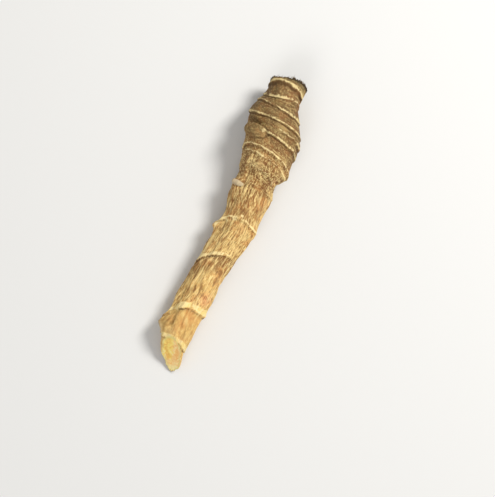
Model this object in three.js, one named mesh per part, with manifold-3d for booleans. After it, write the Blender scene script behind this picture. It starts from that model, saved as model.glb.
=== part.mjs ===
// A dried leopard's bane root, lying down: one tapering, slightly bent piece of rootstock.
// A short neck, broken off dark, opens at one end into a thick ringed crown. Below the crown the shaft
// is slimmer, furrowed along its length and crossed by old leaf scars, and it ends in a slanting cut.
//
// Millimetres. +X runs from the cut tip to the crown, +Y is the root's left seen from above, +Z is up.
// The root rests on z = 0. Angles round the root are turned from the top towards the left.
import * as THREE from 'three';
import { mergeVertices } from 'three/addons/utils/BufferGeometryUtils.js';
import Module from 'manifold-3d';

const COLUMNS = 44; // points round the root
const ROW_GAP = 1.7; // longest step between two rows of points along the root

// The plain body at each place along it: how far it reaches left, right, down and up.
const BODY = [
  { x: 40.6, left: 4.8, right: -4.2, low: 2.4, high: 10.1 },
  { x: 38.6, left: 5.0, right: -4.3, low: 2.1, high: 10.4 },
  { x: 36.2, left: 4.9, right: -4.0, low: 1.8, high: 10.6 },
  { x: 34.0, left: 5.0, right: -4.2, low: 1.5, high: 10.9 },
  { x: 32.0, left: 6.0, right: -4.9, low: 0.9, high: 11.5 },
  { x: 29.5, left: 6.5, right: -5.9, low: 0.3, high: 12.2 },
  { x: 26.0, left: 6.1, right: -7.5, low: -0.3, high: 12.7 },
  { x: 22.0, left: 5.6, right: -8.0, low: -0.5, high: 12.8 },
  { x: 18.5, left: 4.9, right: -8.0, low: -0.4, high: 12.3 },
  { x: 15.8, left: 4.6, right: -7.7, low: -0.1, high: 11.5 },
  { x: 13.6, left: 3.7, right: -6.0, low: 0.4, high: 10.4 },
  { x: 9.5, left: 4.3, right: -5.9, low: 0.6, high: 9.9 },
  { x: 4.0, left: 3.5, right: -5.7, low: 0.5, high: 9.5 },
  { x: 0.0, left: 3.8, right: -5.6, low: 0.4, high: 9.4 },
  { x: -5.0, left: 4.4, right: -4.4, low: 0.4, high: 9.1 },
  { x: -12.0, left: 5.6, right: -2.8, low: 0.3, high: 8.8 },
  { x: -20.0, left: 6.4, right: -2.0, low: 0.1, high: 8.5 },
  { x: -24.5, left: 6.7, right: -1.4, low: -0.2, high: 8.2 },
  { x: -30.0, left: 5.8, right: -0.8, low: 0.0, high: 7.2 },
  { x: -33.6, left: 5.6, right: -0.2, low: 0.1, high: 6.3 },
  { x: -37.0, left: 4.0, right: -0.2, low: 0.2, high: 4.9 },
  { x: -40.2, left: 1.9, right: 0.3, low: 0.5, high: 2.6 },
];
const TIP_END = -40.6; // the last growth line, beyond the cut

// Old leaf scars: raised rings round the root. A ring stands at `at` on the root's sides. It is carried
// towards the crown by `arch` on top, by `slant` more on the left than on the right, and by `skew` more on
// one shoulder than on the other. A ring with a `side` fades away from that angle, in degrees.
const RINGS = [
  { at: 38.3, slant: -0.2, arch: 1.4, skew: -0.15, rise: 0.1, width: 0.3 }, // edge of the broken end
  { at: 36.1, slant: 0.7, arch: 2.2, skew: 0, rise: 0.36, width: 0.4 },
  { at: 33.8, slant: 0.1, arch: 0.5, skew: -0.5, rise: 0.28, width: 0.36 },
  { at: 31.3, slant: 1.1, arch: 0.3, skew: -0.1, rise: 0.28, width: 0.36 },
  { at: 27.5, slant: 0.9, arch: 1.0, skew: -0.35, rise: 0.36, width: 0.42 },
  { at: 25.3, slant: 1.2, arch: 1.5, skew: -0.2, rise: 0.3, width: 0.36, side: -75 },
  { at: 23.1, slant: 1.8, arch: 1.4, skew: -0.2, rise: 0.38, width: 0.45, side: -40 },
  { at: 18.0, slant: 1.5, arch: 2.7, skew: 0, rise: 0.36, width: 0.42 },
  { at: 16.6, slant: 1.7, arch: 2.1, skew: 0, rise: 0.2, width: 0.34 },
  { at: 13.7, slant: 1.6, arch: 2.0, skew: 0, rise: 0.16, width: 0.34, side: -30 },
  { at: 10.5, slant: 0.5, arch: 1.5, skew: 0, rise: 0.2, width: 0.36, side: -60 },
  { at: -0.1, slant: -0.3, arch: 2.5, skew: 0.4, rise: 0.32, width: 0.42 },
  { at: -10.1, slant: -1.3, arch: 2.6, skew: 0, rise: 0.34, width: 0.48, side: 30 },
  { at: -25.3, slant: -2.2, arch: 2.8, skew: 1.1, rise: 0.42, width: 0.62 },
  { at: -32.6, slant: 0.9, arch: 0.9, skew: 0, rise: 0.3, width: 0.3 },
];
const LEANS = ['slant', 'arch', 'skew'];
// A ring is steep towards the tip and slopes off gently towards the crown: how much wider than `width`
// it is on either side. Its crease lies behind its steep side.
const STEEP_SIDE = 0.8;
const GENTLE_SIDE = 2.1;
const GROOVE = 0.5; // depth of the crease, as a share of the ring's rise
const GROOVE_AT = 1.6; // how far behind a ring its crease lies, in ring widths
const SIDE_FADE = 1.3; // how fast a ring with a side fades away from it
const RING_ROWS = [-2.4, 0, 0.9, 1.7, 2.7]; // rows of points across a ring, in ring widths

// Swellings of the surface: a place along the root, the angle it faces, its length, breadth and rise.
const LOBES = [
  { x: 29.3, turn: 60, length: 2.7, breadth: 3.0, rise: 0.85 }, // shoulder beside the neck
  { x: 24.2, turn: 52, length: 1.6, breadth: 3.0, rise: 1.4 }, // sleeping bud under it
  { x: 11.0, turn: 55, length: 0.8, breadth: 1.8, rise: 0.9 }, // stub at the fold below the crown
  { x: -0.9, turn: 80, length: 0.9, breadth: 1.0, rise: 1.2 }, // spur of a leaf base
  { x: -0.3, turn: -86, length: 0.9, breadth: 1.5, rise: 0.5 }, // the same leaf base, other side
  { x: -28.8, turn: 77, length: 2.9, breadth: 2.2, rise: 2.5 }, // foot of a lost rootlet
  { x: 26.4, turn: 45, length: 0.7, breadth: 2.4, rise: -0.8 }, // crease between shoulder and bud
];

// Round scars where rootlets broke off, on the flanks and underneath, and on the foot at the tip.
const SCARS = [
  { x: 30.5, turn: -118, radius: 1.25 },
  { x: 26.0, turn: 128, radius: 1.45 },
  { x: 20.3, turn: -132, radius: 1.3 },
  { x: 14.0, turn: 118, radius: 1.15 },
  { x: 6.6, turn: -116, radius: 1.1 },
  { x: 3.2, turn: 134, radius: 1.2 },
  { x: -5.6, turn: -138, radius: 1.15 },
  { x: -13.5, turn: 122, radius: 1.2 },
  { x: -18.4, turn: -124, radius: 1.0 },
  { x: -29.9, turn: 83, radius: 2.1 },
];
const SCAR_SIDES = 12;
// A scar's outline from its foot, sunk into the root, over its collar to its middle: shares of its
// radius outwards, and millimetres above the bark.
const SCAR_PROFILE = [
  [0, -1.1],
  [0.85, -1.1],
  [1.0, 0],
  [0.86, 0.38],
  [0.62, 0.38],
  [0.4, -0.12],
  [0, 0.08],
];

// Furrows that run along the root: waves round it, the depth of each, and how far it twists per mm.
const FURROWS = [
  { waves: 5, depth: 0.16, twist: 0.021, phase: 0.7 },
  { waves: 8, depth: 0.13, twist: -0.034, phase: 2.1 },
  { waves: 13, depth: 0.1, twist: 0.027, phase: 4.4 },
];
const CROWN_FROM = 15; // the furrows fade into the crown from here on
const CROWN_BLEND = 3; // half the length over which they fade
const CROWN_FURROWS = 0.45; // share of their depth that is left there
const LUMPS = [
  { along: 0.41, waves: 2, depth: 0.14, phase: 0.4 },
  { along: 0.93, waves: 3, depth: 0.1, phase: 1.9 },
];

// The slanting cut across the tip, from its upper edge to its lower end.
const CUT_TOP = new THREE.Vector3(-32.3, 2.9, 6.1);
const CUT_END = new THREE.Vector3(-39.5, 1.2, 0.5);
const CUT_ROLL = 0.16; // the cut face leans to the root's right by this angle, in radians

const DOME = [0.93, 0.72, 0.42]; // rows of the broken crown end, as shares of its radius
const DOME_RISE = 0.5; // how far its middle stands out

const BLOCK = 120; // side of the blocks that cut the root
const NEAR = 1e-4; // points closer than this are one

const bell = (t) => Math.exp(-t * t);
const radians = THREE.MathUtils.degToRad;

// The value of one key of BODY at a place along the root, on a smooth curve through its points.
function bodyAt(key, x) {
  const last = BODY.length - 1;
  const i = THREE.MathUtils.clamp(BODY.findIndex((b) => b.x <= x), 1, last);
  const [p, a, b, n] = [Math.max(i - 2, 0), i - 1, i, Math.min(i + 1, last)].map((k) => BODY[k]);
  const slope = (low, high) => (high[key] - low[key]) / (high.x - low.x);
  const span = b.x - a.x;
  const t = THREE.MathUtils.clamp((x - a.x) / span, 0, 1);
  const [from, to] = [slope(p, b) * span, slope(a, n) * span];
  const bend = 2 * (a[key] - b[key]) + from + to;
  return a[key] + t * (from + t * (b[key] - a[key] - from - bend + t * bend));
}

// The ring table's slant, arch or skew at a place between two rings.
function leanAt(key, at) {
  const i = RINGS.findIndex((r) => r.at <= at);
  if (i === 0) return RINGS[0][key];
  if (i < 0) return RINGS[RINGS.length - 1][key];
  const [above, below] = [RINGS[i - 1], RINGS[i]];
  return THREE.MathUtils.mapLinear(at, above.at, below.at, above[key], below[key]);
}

function ringRelief(at, angle) {
  let sum = 0;
  for (const ring of RINGS) {
    const off = (at - ring.at) / ring.width;
    const slope = bell(off / (off < 0 ? STEEP_SIDE : GENTLE_SIDE));
    const facing = ring.side === undefined ? 1 : bell((1 - Math.cos(angle - radians(ring.side))) * SIDE_FADE);
    sum += ring.rise * facing * (slope - GROOVE * bell(off + GROOVE_AT));
  }
  return sum;
}

function lobeRelief(x, angle, girth) {
  let sum = 0;
  for (const lobe of LOBES) {
    const round = Math.atan2(Math.sin(angle - radians(lobe.turn)), Math.cos(angle - radians(lobe.turn)));
    sum += lobe.rise * bell(Math.hypot((x - lobe.x) / lobe.length, (round * girth) / lobe.breadth));
  }
  return sum;
}

function barkRelief(x, angle) {
  const crown = THREE.MathUtils.smoothstep(x, CROWN_FROM - CROWN_BLEND, CROWN_FROM + CROWN_BLEND);
  const share = THREE.MathUtils.lerp(1, CROWN_FURROWS, crown);
  let sum = 0;
  for (const f of FURROWS) sum += share * f.depth * Math.cos(f.waves * angle + f.twist * f.waves * x + f.phase);
  for (const l of LUMPS) sum += l.depth * Math.sin(l.along * x + l.phase) * Math.cos(l.waves * angle + l.phase);
  return sum;
}

// The axis of the body at x, and its half width and half height there.
function sectionAt(x) {
  const [left, right, low, high] = ['left', 'right', 'low', 'high'].map((key) => bodyAt(key, x));
  return { y: (left + right) / 2, z: (high + low) / 2, wide: (left - right) / 2, tall: (high - low) / 2 };
}

// A point of the surface on the growth line `at`, at an angle round the root.
// `share` is 1 on the bark and less on the broken crown end.
function surfacePoint(at, angle, share = 1) {
  const [side, top] = [Math.sin(angle), Math.cos(angle)];
  const [slant, arch, skew] = LEANS.map((key) => leanAt(key, at));
  const x = at + (slant * side + arch * top + skew * Math.sin(2 * angle)) * share;
  const s = sectionAt(x);
  const girth = Math.sqrt(s.wide * s.tall);
  const relief = (ringRelief(at, angle) + lobeRelief(x, angle, girth) + barkRelief(x, angle)) * share;
  const y = s.y + (s.wide * share + relief) * side;
  const z = s.z + (s.tall * share + relief) * top;
  return new THREE.Vector3(x + DOME_RISE * (1 - share * share), y, z);
}

// The places of the rows of points: close together across each ring, and never far apart.
function rowPlaces(from, to) {
  const marks = RINGS.flatMap((ring) => RING_ROWS.map((r) => ring.at - r * ring.width));
  const rows = [from, ...marks.filter((m) => m < from && m > to), to].sort((a, b) => b - a);
  return rows.flatMap((row, i) => {
    const gap = i + 1 < rows.length ? row - rows[i + 1] : 0;
    const steps = Math.max(1, Math.ceil(gap / ROW_GAP));
    return Array.from({ length: steps }, (_, k) => row - (gap * k) / steps);
  });
}

// The closed body: rows of points from the middle of the broken crown end to the tip.
function bodyGeometry() {
  const crownEnd = RINGS[0].at;
  const rows = [
    ...[...DOME].reverse().map((share) => ({ at: crownEnd, share })),
    ...rowPlaces(crownEnd, TIP_END).map((at) => ({ at, share: 1 })),
  ];
  const points = rows.flatMap(({ at, share }) =>
    Array.from({ length: COLUMNS }, (_, i) => surfacePoint(at, (i / COLUMNS) * 2 * Math.PI, share)),
  );
  const crownPole = points.push(surfacePoint(crownEnd, 0, 0)) - 1;
  const last = (rows.length - 1) * COLUMNS;
  const tip = new THREE.Vector3();
  for (let i = 0; i < COLUMNS; i++) tip.addScaledVector(points[last + i], 1 / COLUMNS);
  const tipPole = points.push(tip) - 1;
  const faces = [];
  for (let i = 0; i < COLUMNS; i++) {
    const next = (i + 1) % COLUMNS;
    faces.push(crownPole, next, i, tipPole, last + i, last + next);
    for (let r = 0; r + 1 < rows.length; r++) {
      const [a, b] = [r * COLUMNS, (r + 1) * COLUMNS];
      faces.push(a + i, a + next, b + next, a + i, b + next, b + i);
    }
  }
  return new THREE.BufferGeometry().setFromPoints(points).setIndex(faces);
}

// One scar: a low collar round a sunk middle, turned to face out of the root.
function scarGeometry({ x, turn, radius }) {
  const profile = SCAR_PROFILE.map(([out, up]) => new THREE.Vector2(out * radius, up));
  const s = sectionAt(x);
  const angle = radians(turn);
  const outward = new THREE.Vector3(0, Math.sin(angle) / s.wide, Math.cos(angle) / s.tall).normalize();
  const relief = lobeRelief(x, angle, Math.sqrt(s.wide * s.tall)) + barkRelief(x, angle);
  const [side, top] = [Math.sin(angle), Math.cos(angle)];
  const foot = new THREE.Vector3(x, s.y + (s.wide + relief) * side, s.z + (s.tall + relief) * top);
  const turned = new THREE.Quaternion().setFromUnitVectors(new THREE.Vector3(0, 1, 0), outward);
  return new THREE.LatheGeometry(profile, SCAR_SIDES).applyQuaternion(turned).translate(foot.x, foot.y, foot.z);
}

// A block that takes away everything below z = 0, where the root rests.
function floorBlock() {
  return new THREE.BoxGeometry(BLOCK, BLOCK, BLOCK).translate(0, 0, -BLOCK / 2);
}

// A block that takes away the tip beyond the slanting cut.
function cutBlock() {
  const down = CUT_END.clone().sub(CUT_TOP).normalize();
  const across = new THREE.Vector3(0, 1, 0).applyAxisAngle(down, CUT_ROLL);
  const outward = new THREE.Vector3().crossVectors(down, across).negate().normalize();
  const side = new THREE.Vector3().crossVectors(outward, down);
  const middle = CUT_TOP.clone().lerp(CUT_END, 0.5).addScaledVector(outward, BLOCK / 2);
  const place = new THREE.Matrix4().makeBasis(down, side, outward).setPosition(middle);
  return new THREE.BoxGeometry(BLOCK, BLOCK, BLOCK).applyMatrix4(place);
}

const wasm = await Module();
wasm.setup();

// A closed three.js geometry as a solid that can be joined and cut.
function solid(geometry) {
  const bare = geometry.clone();
  bare.deleteAttribute('normal');
  bare.deleteAttribute('uv');
  const merged = mergeVertices(bare, NEAR);
  const mesh = { numProp: 3, vertProperties: merged.attributes.position.array };
  return new wasm.Manifold(new wasm.Mesh({ ...mesh, triVerts: new Uint32Array(merged.index.array) }));
}

function geometryOf(made) {
  const { vertProperties, triVerts } = made.getMesh();
  const geometry = new THREE.BufferGeometry();
  geometry.setAttribute('position', new THREE.BufferAttribute(new Float32Array(vertProperties), 3));
  geometry.setIndex(new THREE.BufferAttribute(new Uint32Array(triVerts), 1));
  geometry.computeVertexNormals();
  return geometry;
}

let root = solid(bodyGeometry());
for (const scar of SCARS) root = root.add(solid(scarGeometry(scar)));
root = root.subtract(solid(cutBlock())).subtract(solid(floorBlock()));

const bark = new THREE.MeshStandardMaterial({ color: 0xa98550, roughness: 0.85, metalness: 0 });
const rootMesh = new THREE.Mesh(geometryOf(root), bark);
rootMesh.name = 'root';

const part = new THREE.Group();
part.add(rootMesh);
export default part;
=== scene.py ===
# The looks of one dried leopard's bane root that lies on its side: furrowed bark crossed by old leaf
# scars, round scars of lost rootlets, a torn dark crown end and a slanting cut across the tip.
#
# The frame is in metres: +X runs from the cut tip to the crown, +Y is the root's left seen from above
# and +Z is up. The tables are in millimetres and are brought to metres by MM where they are used.
# A growth line is a row of the bark that follows the leaf scars. Its place, `growth`, is where it passes
# the root's sides. Angles round the root are turned from the top towards the left.
import math

import bmesh
import bpy
import numpy as np
from mathutils import Matrix, Quaternion, Vector


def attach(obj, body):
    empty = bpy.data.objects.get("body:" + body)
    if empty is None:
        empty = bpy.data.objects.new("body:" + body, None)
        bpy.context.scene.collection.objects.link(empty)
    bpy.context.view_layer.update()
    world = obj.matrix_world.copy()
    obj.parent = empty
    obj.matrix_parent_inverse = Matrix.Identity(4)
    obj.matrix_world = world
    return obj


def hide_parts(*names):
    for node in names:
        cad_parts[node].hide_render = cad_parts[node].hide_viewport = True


bl_info = {
    "name": "Leopards bane root",
    "version": (1, 0, 0),
    "blender": (4, 5, 0),
    "location": "View3D > Sidebar > Root",
    "description": "Builds the looks of a dried leopard's bane root around its packed solid",
    "category": "Object",
}

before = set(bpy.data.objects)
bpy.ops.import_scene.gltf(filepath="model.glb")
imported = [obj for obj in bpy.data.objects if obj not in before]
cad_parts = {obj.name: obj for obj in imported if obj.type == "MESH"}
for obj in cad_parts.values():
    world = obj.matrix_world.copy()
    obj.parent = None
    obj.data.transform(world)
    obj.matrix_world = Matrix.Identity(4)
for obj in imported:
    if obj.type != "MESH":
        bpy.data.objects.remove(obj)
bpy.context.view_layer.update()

MM = 0.001

# The plain body at each place along it, in mm: x, and how far it reaches left, right, down and up.
BODY = (
    (40.6, 4.8, -4.2, 2.4, 10.1),
    (38.6, 5.0, -4.3, 2.1, 10.4),
    (36.2, 4.9, -4.0, 1.8, 10.6),
    (34.0, 5.0, -4.2, 1.5, 10.9),
    (32.0, 6.0, -4.9, 0.9, 11.5),
    (29.5, 6.5, -5.9, 0.3, 12.2),
    (26.0, 6.1, -7.5, -0.3, 12.7),
    (22.0, 5.6, -8.0, -0.5, 12.8),
    (18.5, 4.9, -8.0, -0.4, 12.3),
    (15.8, 4.6, -7.7, -0.1, 11.5),
    (13.6, 3.7, -6.0, 0.4, 10.4),
    (9.5, 4.3, -5.9, 0.6, 9.9),
    (4.0, 3.5, -5.7, 0.5, 9.5),
    (0.0, 3.8, -5.6, 0.4, 9.4),
    (-5.0, 4.4, -4.4, 0.4, 9.1),
    (-12.0, 5.6, -2.8, 0.3, 8.8),
    (-20.0, 6.4, -2.0, 0.1, 8.5),
    (-24.5, 6.7, -1.4, -0.2, 8.2),
    (-30.0, 5.8, -0.8, 0.0, 7.2),
    (-33.6, 5.6, -0.2, 0.1, 6.3),
    (-37.0, 4.0, -0.2, 0.2, 4.9),
    (-40.2, 1.9, 0.3, 0.5, 2.6),
)
X, LEFT, RIGHT, LOW, HIGH = range(5)
TIP_END = -40.6  # the last growth line, beyond the cut

# Old leaf scars: raised rings round the root, in mm. A ring stands at `at` on the root's sides. It is
# carried towards the crown by `arch` on top, by `slant` more on the left than on the right, and by `skew`
# more on one shoulder than on the other. Then come its rise, its width, the width of the pale band on its
# crest, how pale that is, how much shade is painted behind it, and for some the angle from which it fades
# away.
RINGS = (
    (38.3, -0.2, 1.4, -0.15, 0.1, 0.3, 0.1, 0.0, 0.3, None),
    (36.1, 0.7, 2.2, 0.0, 0.36, 0.4, 0.6, 1.0, 1.2, None),
    (33.8, 0.1, 0.5, -0.5, 0.28, 0.36, 0.35, 0.85, 0.5, None),
    (31.3, 1.1, 0.3, -0.1, 0.28, 0.36, 0.3, 0.8, 0.75, None),
    (27.5, 0.9, 1.0, -0.35, 0.36, 0.42, 0.4, 0.9, 1.0, None),
    (25.3, 1.2, 1.5, -0.2, 0.3, 0.36, 0.35, 0.9, 0.8, -75),
    (23.1, 1.8, 1.4, -0.2, 0.38, 0.45, 0.45, 1.0, 0.9, -40),
    (18.0, 1.5, 2.7, 0.0, 0.36, 0.42, 0.4, 1.0, 0.8, None),
    (16.6, 1.7, 2.1, 0.0, 0.2, 0.34, 0.3, 0.8, 0.4, None),
    (13.7, 1.6, 2.0, 0.0, 0.16, 0.34, 0.25, 0.65, 0.3, -30),
    (10.5, 0.5, 1.5, 0.0, 0.2, 0.36, 0.2, 0.6, 0.4, -60),
    (-0.1, -0.3, 2.5, 0.4, 0.32, 0.42, 0.6, 1.0, 0.5, None),
    (-10.1, -1.3, 2.6, 0.0, 0.34, 0.48, 0.8, 1.0, 0.9, 30),
    (-25.3, -2.2, 2.8, 1.1, 0.42, 0.62, 1.4, 0.9, 0.7, None),
    (-32.6, 0.9, 0.9, 0.0, 0.3, 0.3, 0.9, 1.0, 0.7, None),
)
AT, SLANT, ARCH, SKEW, RISE, WIDTH, BAND, PALE, CREASE_SHADE, SIDE = range(10)
STEEP_SIDE = 0.8  # a ring is steep towards the tip: how far it reaches there, in ring widths
GENTLE_SIDE = 2.1  # and towards the crown, where it is gentle
CREASE_AT = 1.6  # how far behind a ring its crease lies, in ring widths
LINE_BEHIND = 0.42  # how far behind it its painted shadow line lies, in mm
LINE_WIDTH = 0.2  # half the width of that line, in mm
BAND_START = (-0.34, 0.1)  # where the pale band comes in about a ring's crest, in mm
BAND_END = (0.5, -0.25)  # and where it fades out about its far side
SIDE_FADE = 1.3  # how fast a ring with a side fades away from it

# Swellings of the surface, in mm: a place along the root, the angle it faces in degrees, its length,
# its breadth and how far it rises.
LOBES = (
    (29.3, 60, 2.7, 3.0, 0.85),  # shoulder beside the neck
    (24.2, 52, 1.6, 3.0, 1.4),  # sleeping bud under it
    (11.0, 55, 0.8, 1.8, 0.9),  # stub at the fold below the crown
    (-0.9, 80, 0.9, 1.0, 1.2),  # spur of a leaf base
    (-0.3, -86, 0.9, 1.5, 0.5),  # the same leaf base, other side
    (-28.8, 77, 2.9, 2.2, 2.5),  # foot of a lost rootlet
    (26.4, 45, 0.7, 2.4, -0.8),  # crease between shoulder and bud
)

# Round spots of the bark: x, the angle in degrees and a radius.
BUD = (24.3, 42, 3.9)  # the sleeping bud's middle and its reach round the root
BUD_SQUEEZE = 2.1  # how much shorter the bud is along the root
# Its lines' places and half widths and where its dome begins and is full, in shares of its reach.
BUD_LINE, BUD_CURL, BUD_INNER_CURL = (1.02, 0.08), (0.64, 0.07), (0.3, 0.07)
BUD_EDGE = (1.05, 0.8)
BUD_LOWER_SIDE = (BUD[0] - 2.2, BUD[0] - 0.4)  # its outline, with its painted shade, is fainter before the first of these places
BUD_RISE, BUD_CREASE, BUD_CURLS = 0.35, 0.35, 0.14  # its height and the depth of its lines, in mm
# Where a ring begins or is thick.
RING_BLOTCHES = (
    (25.0, 22, 0.75),
    (3.4, -1, 0.55),
    (3.0, -8, 0.5),
    (2.4, 20, 1.0),
    (1.1, 43, 0.6),
    (-0.4, 72, 0.7),
    (-23.5, 45, 0.8),
    (-24.5, 68, 0.8),
    (-25.7, 82, 0.9),
)
RING_GAPS = ((2.5, 5, 0.55),)  # where a ring is interrupted
STUB = (10.8, 46, 2.1)  # the pale stub of a leaf base
STUB_SQUEEZE = 2.6
STUB_LINE, STUB_EDGE = (1.05, 0.14), (1.0, 0.75)  # as the bud's
STUB_RISE, STUB_CREASE = 0.25, 0.2  # in mm
FOOT_CREASE = ((-27.4, 42), (-31.4, 82))  # a crease along the rootlet's foot: x and the angle of its ends
FOOT_CREASE_WIDTH, FOOT_CREASE_DEPTH = 0.42, 0.4  # its half width and depth, in mm
BLUSHES = ((-19.3, -39, 1.7), (14.4, -50, 0.9))  # reddish spots
FOOT_SHADE = (-28.6, 64, 2.0)  # the flank of the rootlet's foot, where shade is painted
# A pale wedge along the left edge: the growth lines over which it comes in and fades out, how far the
# second two are carried back towards the top, in mm, and how far to the left and above it comes in.
WEDGE_BEGINS, WEDGE_ENDS = (-10.4, -10.1), (-4.5, -6.0)
WEDGE_SLANT = 8.0
WEDGE_SIDE, WEDGE_TOP = (0.72, 0.9), (-0.3, 0.0)

# Round scars where rootlets broke off: a place along the root, an angle in degrees and a radius.
SCARS = (
    (30.5, -118, 1.25),
    (26.0, 128, 1.45),
    (20.3, -132, 1.3),
    (14.0, 118, 1.15),
    (6.6, -116, 1.1),
    (3.2, 134, 1.2),
    (-5.6, -138, 1.15),
    (-13.5, 122, 1.2),
    (-18.4, -124, 1.0),
    (-29.9, 83, 2.1),
)
# The collar, the sunk middle and the knob of such a scar: the place and half width of each, in its radii.
SCAR_LINES = ((0.74, 0.19), (0.0, 0.45), (0.0, 0.16))
SCAR_CLEAR = (0.85, 1.25)  # the bark's own relief comes back between these distances
SCAR_DEPTH = 0.22  # how deep a scar's middle is, in mm
SCAR_KNOB = 0.16  # and how far a knob stands up in it

# Furrows that run along the root: waves round it, the depth of each in mm, its twist for each mm of
# length and its phase.
FURROWS = (
    (5, 0.16, 0.021, 0.7),
    (8, 0.13, -0.034, 2.1),
    (13, 0.1, 0.027, 4.4),
)
# Lumps: waves for each mm of length, waves round the root, depth in mm and phase.
LUMPS = (
    (0.41, 2, 0.14, 0.4),
    (0.93, 3, 0.1, 1.9),
)
# Unevenness: the size of its patches and its height from low to high, both in mm, its detail and, where
# that isn't 0.5, its roughness.
RING_SWAY = (3.0, 1.2, 2.0)
RING_JAG = (0.7, 0.22, 1.0)
FOOT_CREASE_SWAY = (1.2, 0.7, 2.0)
BARK_LUMPS = (3.2, 0.5, 3.0)
KNIFE_MARKS = (0.8, 0.22, 3.0, 0.6)
TORN_LUMPS = (0.9, 1.5, 3.0, 0.65)
TORN_SPIKES = (0.45, 0.8, 2.0, 0.6)

KNIFE_DEPTH = 0.05  # how far the cut face lies behind its rim, in mm
TORN_RIM = (37.3, 38.3)  # the torn end's raggedness comes in between these growth lines
CROWN_FROM = 15.0  # the crown's bark begins here
CROWN_BLEND = 3.0  # half the length over which it turns into the shaft's
CROWN_FURROWS = 0.45  # share of the furrows' depth that is left on the crown

# The slanting cut across the tip, in mm, and how far its face leans to the right, in radians.
CUT_TOP = Vector((-32.3, 2.9, 6.1))
CUT_END = Vector((-39.5, 1.2, 0.5))
CUT_ROLL = 0.16

# The grid of the bark.
COLUMNS = 220
BARK_ROWS = 384
RING_ROW_GAP = 0.15  # mm between rows across a ring
PLAIN_ROW_GAP = 0.27  # mm between rows elsewhere
CLOSE_BELOW = 2.6  # how far below a ring its close rows begin, in ring widths
CLOSE_ABOVE = 0.3  # and how far above its pale band they end, in mm
ROW_TRIES = 8000  # growth lines that are tried to space the rows
CUT_TRIES = 900  # and to find the cut
WARP_FROM = -27.0  # rows beyond this place lean until the last one lies on the cut
CUT_ROWS = 26
TORN_ROWS = 24
BARK, CUT, TORN = range(3)  # the zones of the root's faces
# The torn crown end: shares of the radius and how far out they stand, in mm, from the rim inwards.
TORN_PROFILE = ((1.0, 0.0), (0.93, 0.1), (0.85, -0.6), (0.7, -1.3), (0.4, -1.1), (0.15, -0.5), (0.0, -0.4))

# A fibre of the torn end is a slim cone of unit length, and these are the limits of what is drawn for it.
FIBRE_BLADE = {"Vertices": 5, "Side Segments": 4, "Radius Top": 0.08, "Radius Bottom": 0.5, "Depth": 1.0}
FIBRE_LEAN = ((0.35, -0.6, -0.6), (1.0, 0.6, 0.6))  # its direction
FIBRE_WIDTHS = (0.5, 1.5)  # shares of the fibres' width
FIBRE_LENGTHS = (0.35, 1.4)  # and of their length
FIBRE_FLATNESS = 0.55  # a fibre's thickness, as a share of its width
FIBRE_SWAY = 0.9  # size of the waves that bend them, in mm
FIBRES_FROM = 0.1  # how far inside the torn end's rim they begin, as a share of its radius
FIBRE_SEED, LEAN_SEED, WIDTH_SEED, LENGTH_SEED = 7, 11, 12, 13

# Where a finish changes: from the first growth line to the second, in mm.
STEP_ZONE = (8, 13)
CROWN_ZONE = (14, 22)
BROW_ZONE = (21, 26)  # the crown's smoother upper part
NECK_ZONE = (24, 28)  # less mottled from here
TIP_ZONE = (-23, -27)  # smoother from here
DULL_ZONE = (-20, -24)  # the rings are duller from here
TORN_ZONE = (37.6, 38.0)  # the brown of the torn end comes over the rim
FLESH_END = (-37.4, -38.6)  # the cut flesh is lighter at its end
# The bark's colours along the root, each with its growth line in mm. The fold and step stops at
# -13.5 and -10.4 darken it just behind the leaf scar at -10.1: partly its own tone, partly painted shade.
RAMP_START, RAMP_LENGTH = -40, 80
BARK_STOPS = (
    (-38, "tip"), (-26, "tip"), (-18, "tip"), (-15.5, "shaft"), (-13.5, "fold"), (-10.4, "step"),
    (-9.8, "shaft"), (0, "shaft"), (0.8, "fold"), (6, "fold"), (10, "step"), (18, "step"),
    (22, "crown"), (26, "crown"), (30, "brow"), (36, "brow"), (37, "neck"),
)


def srgb(*screen):
    """A screen colour, 0 to 255, as the linear colour that Blender works in."""
    shares = (channel / 255 for channel in screen)
    return tuple(c / 12.92 if c <= 0.04045 else ((c + 0.055) / 1.055) ** 2.4 for c in shares)


# The plain shape of the body

def bell(t):
    return np.exp(-t * t)


def body_at(key, x):
    """One column of BODY at the places x, on a smooth curve through its rows."""
    table = np.array(BODY)
    last = len(table) - 1
    i = np.clip(np.searchsorted(-table[:, X], -x), 1, last)
    before, low, high, after = np.maximum(i - 2, 0), i - 1, i, np.minimum(i + 1, last)
    span = table[high, X] - table[low, X]
    t = np.clip((x - table[low, X]) / span, 0, 1)

    def slope(a, b):
        return (table[b, key] - table[a, key]) / (table[b, X] - table[a, X]) * span

    start, end = slope(before, high), slope(low, after)
    a, b = table[low, key], table[high, key]
    bend = 2 * (a - b) + start + end
    return a + t * (start + t * (b - a - start - bend + t * bend))


def lean_at(key, growth):
    """The rings' slant, arch or skew at the growth lines given."""
    places = [ring[AT] for ring in reversed(RINGS)]
    return np.interp(growth, places, [ring[key] for ring in reversed(RINGS)])


def plain_relief(x, angle, girth):
    """Lobes and lumps of the body, in mm."""
    relief = np.zeros(np.broadcast(x, angle).shape)
    for place, turn, length, breadth, rise in LOBES:
        turned = angle - math.radians(turn)
        off = np.arctan2(np.sin(turned), np.cos(turned)) * girth / breadth
        relief += rise * bell(np.hypot((x - place) / length, off))
    for along, waves, depth, phase in LUMPS:
        relief += depth * np.sin(along * x + phase) * np.cos(waves * angle + phase)
    return relief


def section_at(x):
    """The body's sections at the places x: their middle's y and z, half width, half height and girth."""
    left, right, low, high = (body_at(key, x) for key in (LEFT, RIGHT, LOW, HIGH))
    wide, tall = (left - right) / 2, (high - low) / 2
    return (left + right) / 2, (high + low) / 2, wide, tall, np.sqrt(wide * tall)


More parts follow.
